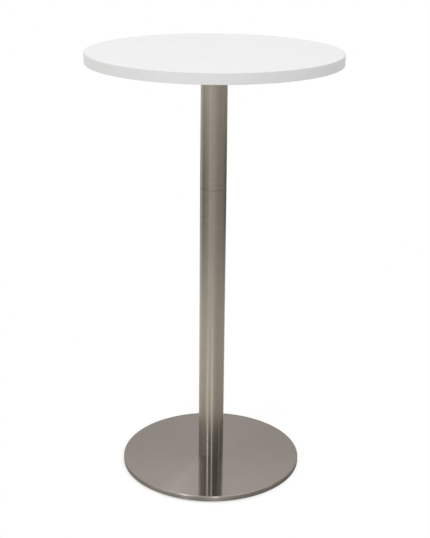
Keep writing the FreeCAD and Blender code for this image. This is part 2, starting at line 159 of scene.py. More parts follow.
# %% Finishes
class Finish(Web):
    """A new material. The given sockets are those of its main shader."""

    def __init__(self, name, sockets):
        self.material = bpy.data.materials.new(name)
        self.material.use_nodes = True
        super().__init__(self.material.node_tree)
        self.shader = self.tree.nodes["Principled BSDF"]
        self.set(sockets)
        self.place = self.node("ShaderNodeTexCoord", output="Object")
        self.x, self.y, self.z = (
            self.node("ShaderNodeSeparateXYZ", inputs={0: self.place}, output=axis) for axis in "XYZ")
        self.radius = (self.x * self.x + self.y * self.y) ** 0.5

    def set(self, sockets):
        for socket, given in sockets.items():
            self.feed(self.shader.inputs[socket], given)

    def vector(self, x, y, z):
        return self.node("ShaderNodeCombineXYZ", inputs={0: x, 1: y, 2: z})

    def round_axis(self, across, length):
        """A place for marks that run round Z: fine across them, and slow along them."""
        return self.vector(across, self.x / self.radius * length, self.y / self.radius * length)

    def noise(self, vector, scale=1, detail=2):
        sockets = {"Vector": vector, "Scale": scale, "Detail": detail}
        return self.node("ShaderNodeTexNoise", inputs=sockets, output="Fac")

    def blend(self, share, first, second):
        sockets = {"Factor": share, 6: first, 7: second}
        return self.node("ShaderNodeMix", {"data_type": "RGBA"}, sockets, output=2)

    def tinted(self, level, tint):
        """A level that takes on a tint."""
        settings = {"data_type": "RGBA", "blend_type": "MULTIPLY"}
        sockets = {"Factor": 1, 6: level, 7: tint}
        return self.node("ShaderNodeMix", settings, sockets, output=2)

    def bump(self, height):
        """Raises the surface by a height in metres."""
        sockets = {"Height": height, "Distance": 1, "Strength": 1}
        self.set({"Normal": self.node("ShaderNodeBump", inputs=sockets)})


def grey(level, warmth=0.0):
    """A near-neutral colour. Warmth takes blue away and adds red."""
    return (level * (1 + warmth), level, level * (1 - warmth), 1)


def ramp(start, end, term):
    """0 up to a start, 1 from an end on, and a straight slope between them."""
    return ((term - start) / (end - start)).at_least(0).at_most(1)


print("finish tools ready")

# %% [markdown]
# ## White board and white edging
#
# The top is particle board with a matt melamine face. Close up, that face has a fine pearl texture
# from the press plate. The plastic edging is a shade smoother, and the scraper that trimmed it
# leaves faint marks that run round the edge.

# %% White finishes
PEARL_HEIGHT = 0.03 * MM
SCRAPE_HEIGHT = 0.02 * MM
SCRAPES_PER_METRE = 900


def white_melamine():
    finish = Finish("white_melamine", {"Specular IOR Level": 0.16})
    pearl = finish.noise(finish.place, scale=1400, detail=3)
    cloud = finish.noise(finish.place, scale=14)
    finish.set({
        "Base Color": finish.blend(cloud, grey(0.83, -0.004), grey(0.86, -0.004)),
        "Roughness": 0.54 + 0.1 * pearl,
    })
    finish.bump(pearl * PEARL_HEIGHT)
    return finish.material


def white_edging():
    finish = Finish("white_edging", {"Specular IOR Level": 0.4})
    scraped = finish.noise(finish.round_axis(finish.z * SCRAPES_PER_METRE, length=4), detail=3)
    cloud = finish.noise(finish.place, scale=22)
    # The edging's grey sits a little below the board's: painted shade for the upright side of the top.
    finish.set({
        "Base Color": finish.blend(cloud, grey(0.785), grey(0.81)),
        "Roughness": 0.32 + 0.14 * scraped,
    })
    finish.bump(scraped * SCRAPE_HEIGHT)
    return finish.material


MELAMINE = white_melamine()
EDGING = white_edging()
print("white finishes", MELAMINE.name, EDGING.name)

# %% [markdown]
# ## Brushed stainless steel
#
# Both the column and the base were turned against an abrasive, so their scratches run round the
# axis. Such a surface mirrors sharply along the scratch and smears across it. The shader's
# anisotropy does exactly that, and its own tangent already runs round Z, so a quarter turn sets the
# smear across the scratches. The scratches themselves are noise that is stretched round the axis,
# with wider bands and patches where the belt pressed harder. On the disc they are read along the
# radius and then down the skirt. The pressed disc is also very slightly crowned, as such covers
# are. The crown tips the surface by a degree and a half at the rim and shows only in what the disc
# mirrors, so it is a bump.

# %% Brushed steel
DISC_CROWN = 0.058
SHEET_TONE = (1.05, 1, 0.93)
TUBE_TONE = (1.05, 1, 0.90)
STEEL_LEVEL = 0.31
SCRATCH_HEIGHT = 0.0015 * MM
SCRATCHES_PER_METRE = 3500
PATCHES_PER_METRE = 18
FINE_SHARE = 0.35
BAND_SHARE = 0.4
PATCH_SHARE = 0.25
FINE_POLISH = 0.035
BAND_POLISH = 0.025
RIM_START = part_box("base_cover")[1].x - 3.5 * MM
RIM_BLEND = 1.5 * MM
RIM_ROUGHER = 0.15


def steel_colour(tone, level):
    return tuple(level * part for part in tone) + (1,)


def brushed_steel(name, on_disc, tone, roughness, along, band_rate, band_length, contrast):
    """Steel that mirrors sharply along its scratches: along, from 0 to 1, says how sharply."""
    finish = Finish(name, {"Metallic": 1, "Anisotropic": along, "Anisotropic Rotation": 0.25})
    across = finish.radius - finish.z if on_disc else finish.z
    fine = finish.noise(finish.round_axis(across * SCRATCHES_PER_METRE, length=9), detail=3)
    bands = finish.noise(finish.round_axis(across * band_rate, band_length))
    patches = finish.noise(finish.round_axis(across * PATCHES_PER_METRE, length=1.5))
    wear = FINE_SHARE * fine + BAND_SHARE * bands + PATCH_SHARE * patches
    polish = roughness + FINE_POLISH * (fine - 0.5) + BAND_POLISH * (bands - 0.5)
    relief = fine * SCRATCH_HEIGHT
    if on_disc:
        rim = ramp(RIM_START, RIM_START + RIM_BLEND, finish.radius)
        polish = polish + RIM_ROUGHER * rim
        relief = relief - DISC_CROWN * finish.radius * finish.radius
    dark = steel_colour(tone, STEEL_LEVEL - contrast)
    light = steel_colour(tone, STEEL_LEVEL + contrast)
    finish.set({
        "Base Color": finish.blend(wear, dark, light),
        "Roughness": polish,
    })
    finish.bump(relief)
    return finish.material


COLUMN_STEEL = brushed_steel(
    "brushed_column", on_disc=False, tone=TUBE_TONE, roughness=0.235, along=0.78,
    band_rate=120, band_length=1, contrast=0.045)
BASE_STEEL = brushed_steel(
    "brushed_base", on_disc=True, tone=SHEET_TONE, roughness=0.128, along=1,
    band_rate=260, band_length=3, contrast=0.035)
print("steel finishes", COLUMN_STEEL.name, BASE_STEEL.name)

# %% [markdown]
# ## The finishes under the table
#
# What is out of sight still has the finish of the workshop: black powder coat with its orange peel
# on the cross and the ballast, bright zinc on the screws and nuts, fine lathe rings on the turned
# plugs, and matt black nylon on the glides. Each one is a small noise at the size of the real
# texture.

# %% Hidden finishes
PEEL_HEIGHT = 0.05 * MM
GRAIN_HEIGHT = 0.006 * MM
SPANGLE_HEIGHT = 0.01 * MM
RING_HEIGHT = 0.008 * MM
SKIN_HEIGHT = 0.012 * MM
LATHE_RINGS_PER_METRE = 4000
ZINC_BLUE = (0.40, 0.42, 0.46, 1)
ZINC_WHITE = (0.50, 0.50, 0.50, 1)


def powder_coat():
    finish = Finish("black_powder_coat", {"Specular IOR Level": 0.45})
    peel = finish.noise(finish.place, scale=650, detail=1)
    grain = finish.noise(finish.place, scale=4200, detail=2)
    finish.set({
        "Base Color": finish.blend(grain, grey(0.016), grey(0.03)),
        "Roughness": 0.42 + 0.16 * grain,
    })
    finish.bump(peel * PEEL_HEIGHT + grain * GRAIN_HEIGHT)
    return finish.material


def zinc_plate():
    finish = Finish("zinc_plate", {"Metallic": 1})
    spangle = finish.noise(finish.place, scale=420, detail=3)
    stain = finish.noise(finish.place, scale=60, detail=2)
    finish.set({
        "Base Color": finish.blend(stain, ZINC_BLUE, ZINC_WHITE),
        "Roughness": 0.26 + 0.18 * spangle,
    })
    finish.bump(spangle * SPANGLE_HEIGHT)
    return finish.material


def turned_steel(name, dark, light):
    finish = Finish(name, {"Metallic": 1, "Anisotropic": 0.7, "Anisotropic Rotation": 0.25})
    across = finish.radius + finish.z
    rings = finish.noise(finish.round_axis(across * LATHE_RINGS_PER_METRE, length=2), detail=1)
    finish.set({
        "Base Color": finish.blend(rings, grey(dark, 0.03), grey(light, 0.03)),
        "Roughness": 0.24 + 0.12 * rings,
    })
    finish.bump(rings * RING_HEIGHT)
    return finish.material


def black_nylon():
    finish = Finish("black_nylon", {"Specular IOR Level": 0.4})
    skin = finish.noise(finish.place, scale=2600, detail=2)
    scuff = finish.noise(finish.place, scale=180, detail=3)
    finish.set({
        "Base Color": finish.blend(scuff, grey(0.012), grey(0.03)),
        "Roughness": 0.5 + 0.2 * scuff,
    })
    finish.bump(skin * SKIN_HEIGHT)
    return finish.material


POWDER_COAT = powder_coat()
ZINC = zinc_plate()
TURNED = turned_steel("turned_steel", dark=0.30, light=0.38)
# The sleeve's near-black steel is painted shade: it darkens the narrow gap between the two tubes.
GAP_SHADE_STEEL = turned_steel("gap_shade_steel", dark=0.03, light=0.05)
NYLON = black_nylon()
print("hidden finishes", POWDER_COAT.name, ZINC.name, TURNED.name, GAP_SHADE_STEEL.name, NYLON.name)

# %% [markdown]
# ## Tools for modelling by hand
#
# Each piece starts from a primitive at its own size and place, and is shaped with Blender's edit
# operators. An operator acts on all that is selected, so nothing is selected before a piece is
# added, and its faces and edges are then picked in code by where their middle lies.

# %% Select and name
def fresh():
    """Leaves nothing selected, so that an operator acts on the new piece alone."""
    bpy.ops.object.select_all(action="DESELECT")


def named(name):
    """Names the piece that was just added, and moves its place into its mesh."""
    piece = bpy.context.object
    piece.name = name
    piece.data.name = name
    bpy.ops.object.transform_apply()
    return piece


def reach(point):
    """Distance of a point from the table's axis."""
    return math.hypot(point.x, point.y)


def activate(piece):
    fresh()
    piece.select_set(True)
    bpy.context.view_layer.objects.active = piece


def pick(piece, kind, test):
    """Selects the faces or edges whose middle passes a test, and stays in edit mode."""
    bpy.ops.object.mode_set(mode="EDIT")
    bpy.ops.mesh.select_mode(type=kind)
    bpy.ops.mesh.select_all(action="DESELECT")
    bpy.ops.object.mode_set(mode="OBJECT")
    points = piece.data.vertices
    for part in {"FACE": piece.data.polygons, "EDGE": piece.data.edges}[kind]:
        corners = [points[corner].co for corner in part.vertices]
        part.select = test(sum(corners, Vector()) / len(corners))
    bpy.ops.object.mode_set(mode="EDIT")


def done():
    bpy.ops.object.mode_set(mode="OBJECT")


print("selecting tools ready")

# %% [markdown]
# Modifiers, cuts and copies are applied at once, so that the next step works on the finished mesh.
# At the end each piece is shaded, gets its finish, and is tied to the body of the frame that it
# rides on. A distance under NEAR counts as none.

# %% Shape and fit out
ROUND = 256
NEAR = 0.05 * MM
SMOOTH_ANGLE = math.radians(35)


def modify(piece, kind, **settings):
    """Adds a modifier and applies it."""
    activate(piece)
    modifier = piece.modifiers.new(kind, kind)
    for name, setting in settings.items():
        setattr(modifier, name, setting)
    bpy.ops.object.modifier_apply(modifier=modifier.name)


def combine(piece, tool, operation):
    """Cuts, joins or trims a piece with a tool, and puts the tool away."""
    modify(piece, "BOOLEAN", object=tool, operation=operation, solver="EXACT")
    bpy.data.objects.remove(tool)


def joined(name, first, *others):
    """One piece from several."""
    activate(first)
    for other in others:
        other.select_set(True)
    bpy.ops.object.join()
    first.name = name
    first.data.name = name
    return first


def copied(piece, name, shift=(0, 0, 0), turn=0):
    """A copy with its own mesh, turned about the table's axis and then shifted."""
    twin = piece.copy()
    twin.data = piece.data.copy()
    twin.name = name
    twin.data.name = name
    twin.data.transform(Matrix.Translation(shift) @ Matrix.Rotation(turn, 4, "Z"))
    bpy.context.scene.collection.objects.link(twin)
    return twin


def fit_out(piece, body, finish, node):
    """Shades a piece, gives it its finish, and lets it stand for a node of the frame."""
    activate(piece)
    bpy.ops.object.shade_smooth_by_angle(angle=SMOOTH_ANGLE)
    modify(piece, "WEIGHTED_NORMAL", keep_sharp=True, weight=100)
    piece.data.materials.clear()
    piece.data.materials.append(finish)
    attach(piece, body)
    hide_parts(node)
    print(piece.name, len(piece.data.polygons), "faces")


print("shaping tools ready")

# %% [markdown]
# ## The top
#
# The board is a disc cut from melamine-faced panel. The saw leaves its rim almost sharp, so it only
# gets a hair of a bevel: enough for the glue line to show beside the edging.

# %% Board
BOARD_BREAK = 0.2 * MM
low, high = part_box("top_board")
BOARD_RADIUS = min(high.x, high.y, -low.x, -low.y)
board_middle = (low.z + high.z) / 2
board_half = (high.z - low.z) / 2
fresh()
bpy.ops.mesh.primitive_cylinder_add(
    vertices=ROUND, radius=BOARD_RADIUS, depth=high.z - low.z, location=(0, 0, board_middle))
board = named("board")
pick(board, "EDGE", lambda middle: abs(middle.z - board_middle) > board_half - NEAR)
bpy.ops.mesh.bevel(offset=BOARD_BREAK, segments=2)
done()
fit_out(board, "table", MELAMINE, "top_board")

# %% [markdown]
# The edging is a plastic strip, bent round the board and glued. It could be swept along a circle,
# but an open cylinder with a wall gives the same strip in fewer steps. Its outer corners are
# rounded by the trimmer. The ends of the strip meet at the back in a butt seam, which is a narrow
# sunk line.

# %% Edge band
low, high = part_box("edge_band")
BAND_RADIUS = min(high.x, high.y, -low.x, -low.y)
BAND_THICKNESS = 2 * MM
BAND_ROUND = 1.5 * MM
BAND_BREAK = 0.15 * MM
SEAM_HALF = 0.15 * MM
SEAM_LIP = 0.04 * MM
SEAM_DEPTH = 0.2 * MM
fresh()
bpy.ops.mesh.primitive_cylinder_add(
    vertices=ROUND, radius=BAND_RADIUS, depth=high.z - low.z, end_fill_type="NOTHING",
    location=(0, 0, board_middle))
band = named("edging")
modify(band, "SOLIDIFY", thickness=BAND_THICKNESS, offset=-1)


def band_corner(outside):
    """Tells the strip's ring edges, outside or inside, from the rest."""
    edge_radius = BAND_RADIUS if outside else BAND_RADIUS - BAND_THICKNESS
    return lambda middle: (
        abs(reach(middle) - edge_radius) < NEAR and abs(middle.z - board_middle) > board_half - NEAR)


pick(band, "EDGE", band_corner(outside=True))
bpy.ops.mesh.bevel(offset=BAND_ROUND, segments=5)
pick(band, "EDGE", band_corner(outside=False))
bpy.ops.mesh.bevel(offset=BAND_BREAK, segments=1)
pick(band, "EDGE", lambda middle: abs(middle.x) < NEAR and middle.y > 0)
bpy.ops.mesh.bevel(offset=SEAM_HALF, segments=1)
pick(band, "FACE", lambda middle: abs(middle.x) < NEAR and middle.y > BAND_RADIUS - BAND_ROUND - NEAR)
bpy.ops.mesh.inset(thickness=SEAM_LIP, depth=-SEAM_DEPTH)
done()
fit_out(band, "table", EDGING, "edge_band")

# %% [markdown]
# ## The column
#
# Two lengths of stainless tube stand end to end. A tube is an open cylinder with a wall on its
# inside, and the saw cuts are broken by a hair of a round. Between them the rim of the sleeve shows
# as a fine dark line across the column. The sleeve is near black, as painted shade for the narrow gap.

# %% Column tubes
TUBE_WALL = 1.5 * MM
SAW_BREAK = 0.15 * MM


def column_tube(name, node):
    low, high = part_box(node)
    radius = high.x
    middle_height = (low.z + high.z) / 2
    fresh()
    bpy.ops.mesh.primitive_cylinder_add(
        vertices=ROUND, radius=radius, depth=high.z - low.z, end_fill_type="NOTHING",
        location=(0, 0, middle_height))
    tube = named(name)
    modify(tube, "SOLIDIFY", thickness=TUBE_WALL, offset=-1)
    half = (high.z - low.z) / 2
    pick(tube, "EDGE", lambda middle: (
        abs(middle.z - middle_height) > half - NEAR and reach(middle) > radius - NEAR))
    bpy.ops.mesh.bevel(offset=SAW_BREAK, segments=2)
    done()
    fit_out(tube, "table", COLUMN_STEEL, node)


column_tube("lower_tube", "lower_column_tube")
column_tube("upper_tube", "upper_column_tube")

# %% [markdown]
# ## The base cover
#
# A press forms this disc from thin sheet: a flat face with a hole for the column, a rounded rim and
# a short skirt. The steps here follow the press. A circle is inset down to the hole, its rim is
# drawn down, the corner between them is rounded, and only then does the sheet get its thickness.

# %% Base cover
low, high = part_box("base_cover")
COVER_RADIUS = high.x
COVER_HOLE = 30.25 * MM
COVER_SHEET = 1.2 * MM
COVER_ROUND = 3 * MM
SKIRT_BREAK = 0.4 * MM


def on_rim(middle):
    """Tells what lies at the outside of the cover."""
    return reach(middle) > COVER_RADIUS - NEAR


fresh()
bpy.ops.mesh.primitive_circle_add(
    vertices=ROUND, radius=COVER_RADIUS, fill_type="NGON", location=(0, 0, high.z))
cover = named("cover")
pick(cover, "FACE", lambda middle: True)
bpy.ops.mesh.inset(thickness=COVER_RADIUS - COVER_HOLE)
bpy.ops.mesh.delete(type="FACE")
pick(cover, "EDGE", on_rim)
bpy.ops.mesh.extrude_region_move(TRANSFORM_OT_translate={"value": (0, 0, low.z - high.z)})
pick(cover, "EDGE", lambda middle: on_rim(middle) and middle.z > high.z - NEAR)
bpy.ops.mesh.bevel(offset=COVER_ROUND, segments=8)
bpy.ops.mesh.select_all(action="SELECT")
bpy.ops.mesh.normals_make_consistent(inside=False)
done()
upward = sum(face.normal.z * face.area for face in cover.data.polygons)
print("sheet faces up" if upward > 0 else "sheet faces down")
modify(cover, "SOLIDIFY", thickness=COVER_SHEET, offset=-1, use_even_offset=True)
pick(cover, "EDGE", lambda middle: on_rim(middle) and middle.z < low.z + NEAR)
bpy.ops.mesh.bevel(offset=SKIRT_BREAK, segments=3)
done()
fit_out(cover, "table", BASE_STEEL, "base_cover")

# %% [markdown]
# ## Pieces that follow the measured shape
#
# The cross, the ballast and a few turned pieces are already right in outline. What they lack is the
# small round that a real edge has. A copy of the measured mesh is loose triangles, so its points
# are merged and its flat faces are dissolved first, and then a bevel breaks every sharp edge.

# %% Copies with broken edges
MERGE = 0.002 * MM
FLAT_ANGLE = math.radians(0.5)
SHARP_ANGLE = math.radians(40)


def broken_edges(name, node, width):
    """A copy of a measured piece with its sharp edges broken, or left as they are at width 0."""
    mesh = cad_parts[node].data.copy()
    piece = bpy.data.objects.new(name, mesh)
    mesh.name = name
    bpy.context.scene.collection.objects.link(piece)
    activate(piece)
    bpy.ops.mesh.customdata_custom_splitnormals_clear()
    pick(piece, "FACE", lambda middle: True)
    bpy.ops.mesh.remove_doubles(threshold=MERGE)
    bpy.ops.mesh.dissolve_limited(angle_limit=FLAT_ANGLE)
    done()
    if width:
        modify(piece, "BEVEL", width=width, segments=2, limit_method="ANGLE", angle_limit=SHARP_ANGLE)
    return piece


ballast = broken_edges("ballast", "base_weight", width=0.4 * MM)
fit_out(ballast, "table", POWDER_COAT, "base_weight")
hub = broken_edges("hub", "base_hub", width=0.4 * MM)
fit_out(hub, "table", TURNED, "base_hub")
washer = broken_edges("washer", "rod_washer", width=0.3 * MM)
fit_out(washer, "table", ZINC, "rod_washer")
spring = broken_edges("spring_washer", "rod_spring_washer", width=0.2 * MM)
fit_out(spring, "table", ZINC, "rod_spring_washer")

# %% [markdown]
# The cross under the top is cut from plate, and its gussets are welded on. A weld is a row of small
# overlapping ripples. One ripple is a ball half sunk in the corner, an array lays the row, a mirror
# makes the other side of the gusset, and three turned copies serve the other arms.

# %% Spider
spider_plate = broken_edges("spider_plate_copy", "spider_plate", width=0.5 * MM)
PLATE_BOTTOM = 1020 * MM
GUSSET_HALF = 2.5 * MM
WELD_START = 38 * MM
WELD_STEP = 1.9 * MM
WELD_RADIUS = 2.1 * MM
WELD_RIPPLES = 28
fresh()
bpy.ops.mesh.primitive_uv_sphere_add(
    segments=14, ring_count=8, radius=WELD_RADIUS, location=(WELD_START, GUSSET_HALF, PLATE_BOTTOM))
weld = named("weld")
modify(weld, "ARRAY", count=WELD_RIPPLES, use_relative_offset=False, use_constant_offset=True,
       constant_offset_displace=(WELD_STEP, 0, 0))
modify(weld, "MIRROR", use_axis=(False, True, False))
welds = [copied(weld, f"weld_{arm}", turn=arm * math.pi / 2) for arm in (1, 2, 3)]
spider = joined("spider", spider_plate, weld, *welds)
fit_out(spider, "table", POWDER_COAT, "spider_plate")

# %% [markdown]
# ## Threads and hexagons
#
# A thread is one V of its profile, turned and lifted by one pitch for each turn. The Screw modifier
# does that. Its turns are merged where they meet, and two bisect cuts trim the ends flat. The
# thread starts a little over two pitches early, because a cut that meets points of the mesh can
# leave its end open.

# %% Thread
RUN_IN = 2.013
TURNS_TO_TRIM = 4


def thread(name, place, length, crest, root, pitch, steps=28):
    """A threaded length that stands on a place."""
    mesh = bpy.data.meshes.new(name)
    mesh.from_pydata([(root, 0, 0), (crest, 0, pitch / 2), (root, 0, pitch)], [(0, 1), (1, 2)], [])
    bolt = bpy.data.objects.new(name, mesh)
    bpy.context.scene.collection.objects.link(bolt)
    bolt.location = Vector(place) - Vector((0, 0, RUN_IN * pitch))
    turns = math.ceil(length / pitch) + TURNS_TO_TRIM
    modify(bolt, "SCREW", screw_offset=pitch, iterations=turns, steps=steps, render_steps=steps)
    bpy.ops.object.transform_apply()
    pick(bolt, "FACE", lambda middle: True)
    bpy.ops.mesh.remove_doubles(threshold=MERGE / 2)
    bpy.ops.mesh.bisect(plane_co=place, plane_no=(0, 0, -1), clear_outer=True, use_fill=True)
    bpy.ops.mesh.select_all(action="SELECT")
    top = Vector(place) + Vector((0, 0, length))
    bpy.ops.mesh.bisect(plane_co=top, plane_no=(0, 0, 1), clear_outer=True, use_fill=True)
    bpy.ops.mesh.select_all(action="SELECT")
    bpy.ops.mesh.normals_make_consistent(inside=False)
    done()
    return bolt


print("thread tool ready")

# %% [markdown]
# Plain lengths are round bars with their end corners broken. A hexagon is a six-sided bar, and
# trimming it with a bevelled round blank leaves the curved chamfers that a lathe leaves on a nut.

# %% Bars and hexagons
BLANK_SPARE = 0.2 * MM


def round_bar(name, place, length, radius, low_break=0, high_break=0, steps=64):
    """A turned bar that stands on a place, with its end corners broken."""
    middle_height = place[2] + length / 2
    fresh()
    bpy.ops.mesh.primitive_cylinder_add(
        vertices=steps, radius=radius, depth=length, location=(place[0], place[1], middle_height))
    bar = named(name)
    for side, size in ((-1, low_break), (1, high_break)):
        if size:
            end = middle_height + side * length / 2
            pick(bar, "EDGE", lambda middle: abs(middle.z - end) < NEAR)
            bpy.ops.mesh.bevel(offset=size, segments=1)
            done()
    return bar


def hexagon_bar(name, place, height, across, chamfer):
    """A hexagon with its corners turned off at both ends."""
    corner = across / math.sqrt(3)
    fresh()
    bpy.ops.mesh.primitive_cylinder_add(
        vertices=6, radius=corner, depth=height, location=(place[0], place[1], place[2] + height / 2))
    bar = named(name)
    foot = (place[0], place[1], place[2] - BLANK_SPARE)
    size = chamfer + BLANK_SPARE
    blank = round_bar("blank", foot, height + 2 * BLANK_SPARE, corner, size, size, steps=96)
    combine(bar, blank, "INTERSECT")
    return bar


print("bar tools ready")

# %% [markdown]
# The tie rod pulls the whole column together. Its lower end shows inside the base hub, under the
# nut, so that end gets a real thread, and the plain shank above it runs up the column out of sight.

# %% Rod end
low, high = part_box("lower_tie_rod")
ROD_RADIUS = high.x
ROD_THREAD = 60 * MM
ROD_PITCH = 1.5 * MM
ROD_GROOVE = 0.9 * MM
ROD_POINT = 2 * MM
SHANK_OVERLAP = 0.2 * MM
TOOL_SPARE = 1 * MM
TRIM_CLEARANCE = 0.01 * MM
rod_thread = thread(
    "rod_thread", (0, 0, low.z), ROD_THREAD, ROD_RADIUS, ROD_RADIUS - ROD_GROOVE, ROD_PITCH)
tip = round_bar(
    "tip", (0, 0, low.z - TOOL_SPARE), ROD_THREAD + 2 * TOOL_SPARE, ROD_RADIUS + TRIM_CLEARANCE,
    low_break=ROD_POINT)
combine(rod_thread, tip, "INTERSECT")
shank_start = low.z + ROD_THREAD - SHANK_OVERLAP
shank = round_bar("shank", (0, 0, shank_start), high.z - shank_start, ROD_RADIUS, high_break=1 * MM)
tie_rod = joined("tie_rod", rod_thread, shank)
fit_out(tie_rod, "table", ZINC, "lower_tie_rod")

# %% [markdown]
# The nut that clamps the stack is a hexagon with a plain bore. The rod fills that bore, so a thread
# inside it would never be seen.

# %% Rod nut
NUT_CHAMFER = 1.3 * MM
NUT_CLEARANCE = 0.05 * MM
low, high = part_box("rod_nut")
nut = hexagon_bar("nut", (0, 0, low.z), high.z - low.z, 2 * high.x, NUT_CHAMFER)
bore = round_bar(
    "bore", (0, 0, low.z - TOOL_SPARE), high.z - low.z + 2 * TOOL_SPARE, ROD_RADIUS + NUT_CLEARANCE)
combine(nut, bore, "DIFFERENCE")
fit_out(nut, "table", ZINC, "rod_nut")

# %% [markdown]
# ## Wood screws
#
# Eight pan-head screws hold the cross to the board. One is modelled at the first hole, head first.
# Its rim is domed by a wide bevel, and its cross recess is cut by one tapered blade, and again by
# the same blade after a quarter turn.

# %% Screw head
SCREW_REACHES = (145 * MM, 112 * MM)
HEAD_RADIUS = 5 * MM
HEAD_ROUND = 2 * MM
RECESS_LENGTH = 4.6 * MM
RECESS_WIDTH = 1.1 * MM
RECESS_DEPTH = 1.6 * MM
RECESS_TAPER = 0.45
BLADE_HEIGHT = 2.2 * MM
low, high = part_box("spider_screws")
screw_x = SCREW_REACHES[0]
screw = round_bar("screw", (screw_x, 0, low.z), PLATE_BOTTOM - low.z, HEAD_RADIUS, steps=48)
pick(screw, "EDGE", lambda middle: middle.z < low.z + NEAR)
bpy.ops.mesh.bevel(offset=HEAD_ROUND, segments=6)
done()
recess_end = low.z + RECESS_DEPTH
for quarter in (0, 1):
    fresh()
    bpy.ops.mesh.primitive_cube_add(size=1, location=(screw_x, 0, recess_end - BLADE_HEIGHT / 2))
    blade = bpy.context.object
    blade.scale = (RECESS_LENGTH, RECESS_WIDTH, BLADE_HEIGHT)
    blade.rotation_euler.z = quarter * math.pi / 2
    named("blade")
    pick(blade, "FACE", lambda middle: middle.z > recess_end - NEAR)
    bpy.ops.transform.resize(
        value=(RECESS_TAPER, RECESS_TAPER, 1), center_override=(screw_x, 0, recess_end))
    done()
    combine(screw, blade, "DIFFERENCE")
print("screw head", len(screw.data.polygons), "faces")

# %% [markdown]
# Above the head come a coarse wood thread and a point. The finished screw is copied to the two
# holes in each arm, and the eight are joined, because they are one group in the frame.

# %% Screw thread and rows
WOOD_CREST = 2.5 * MM
WOOD_ROOT = 1.7 * MM
WOOD_PITCH = 2.2 * MM
POINT_HEIGHT = 4 * MM
POINT_RADIUS = 1.9 * MM
POINT_END = 0.1 * MM
shank_top = high.z - POINT_HEIGHT
wood_thread = thread(
    "wood_thread", (screw_x, 0, PLATE_BOTTOM), shank_top - PLATE_BOTTOM,
    WOOD_CREST, WOOD_ROOT, WOOD_PITCH, steps=20)
fresh()
bpy.ops.mesh.primitive_cone_add(
    vertices=24, radius1=POINT_RADIUS, radius2=POINT_END, depth=POINT_HEIGHT,
    location=(screw_x, 0, shank_top + POINT_HEIGHT / 2))
point = named("point")
screw = joined("screw", screw, wood_thread, point)
rows = []
for arm in range(4):
    for reach_out in SCREW_REACHES:
        if arm or reach_out != screw_x:
            turn = arm * math.pi / 2
            slide = Matrix.Rotation(turn, 3, "Z") @ Vector((reach_out - screw_x, 0, 0))
            rows.append(copied(screw, f"screw_{len(rows)}", slide, turn))
screws = joined("screws", screw, *rows)
fit_out(screws, "table", ZINC, "spider_screws")

# %% [markdown]
# ## Levelling feet
#
# Each foot is a nylon glide that snaps on a steel stud. The stud is turned with a spanner on its
# hexagon, and its thread climbs in a bush in the ballast. The first foot is modelled at its own
# place, and the other three are shifted copies that ride on their own bodies.

# %% Places of the feet
low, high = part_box("foot_stud_1")
foot_x = (low.x + high.x) / 2
foot_y = (low.y + high.y) / 2


def on_foot(height):
    """A place on the first foot's axis."""
    return (foot_x, foot_y, height)


def all_feet(first, name, node, finish):
    """Copies a piece of the first foot to the other three, and fits out all four on their own bodies."""
    first_low, first_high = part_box(f"{node}_1")
    pieces = [first]
    for number in (2, 3, 4):
        there_low, there_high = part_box(f"{node}_{number}")
        shift = (there_low - first_low + there_high - first_high) / 2
        pieces.append(copied(first, f"{name}_{number}", (shift.x, shift.y, 0)))
    for number, piece in enumerate(pieces, start=1):
        fit_out(piece, f"{node}_{number}", finish, f"{node}_{number}")


print("first foot", round(foot_x / MM, 1), round(foot_y / MM, 1), "mm")

# %% [markdown]
# The stud is joined from the turned and milled lengths that the real one has: a spigot that snaps
# in the glide, a neck, the hexagon, the thread and a plain tip. Each length runs a little into the
# next, so that no slit shows between them.

# %% Studs
HEAD_LOW = 3.1 * MM
HEAD_HIGH = 6.3 * MM
HEAD_CHAMFER = 1.1 * MM
SPIGOT_RADIUS = 5 * MM
SPIGOT_HEIGHT = 0.7 * MM
NECK_RADIUS = 4 * MM
STUD_CREST = 4 * MM
STUD_ROOT = 3.25 * MM
STUD_PITCH = 1.25 * MM
TIP_RADIUS = 3.3 * MM
TIP_HEIGHT = 1.1 * MM
RUN_OVER = 0.1 * MM
neck_low = low.z + SPIGOT_HEIGHT - RUN_OVER
thread_low = HEAD_HIGH - RUN_OVER
tip_low = high.z - TIP_HEIGHT
stud_head = hexagon_bar(
    "stud_head", on_foot(HEAD_LOW), HEAD_HIGH - HEAD_LOW, high.x - low.x, HEAD_CHAMFER)
spigot = round_bar(
    "spigot", on_foot(low.z), SPIGOT_HEIGHT, SPIGOT_RADIUS, low_break=0.15 * MM, high_break=0.1 * MM)
neck = round_bar("neck", on_foot(neck_low), HEAD_LOW + RUN_OVER - neck_low, NECK_RADIUS)
stud_thread = thread(
    "stud_thread", on_foot(thread_low), tip_low + RUN_OVER - thread_low,
    STUD_CREST, STUD_ROOT, STUD_PITCH)
tip = round_bar("tip", on_foot(tip_low), TIP_HEIGHT, TIP_RADIUS, high_break=0.5 * MM)
stud = joined("stud_1", stud_head, spigot, neck, stud_thread, tip)
all_feet(stud, "stud", "foot_stud", ZINC)

# %% [markdown]
# The glide keeps its measured shape. Its sole gets what the mould gives it: a shallow ring groove
# and a small dimple in the middle where the plastic went in. Each step of the sole is extruded and
# then drawn in towards the glide's axis. An inset would do it in one step, but it runs into itself
# on so many short edges.

# %% Glides
glide = broken_edges("glide_1", "foot_pad_1", width=0)
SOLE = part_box("foot_pad_1")[0].z
SOLE_LIMIT = 0.01 * MM


def from_glide(point):
    """Distance from the first glide's own axis."""
    return math.hypot(point.x - foot_x, point.y - foot_y)


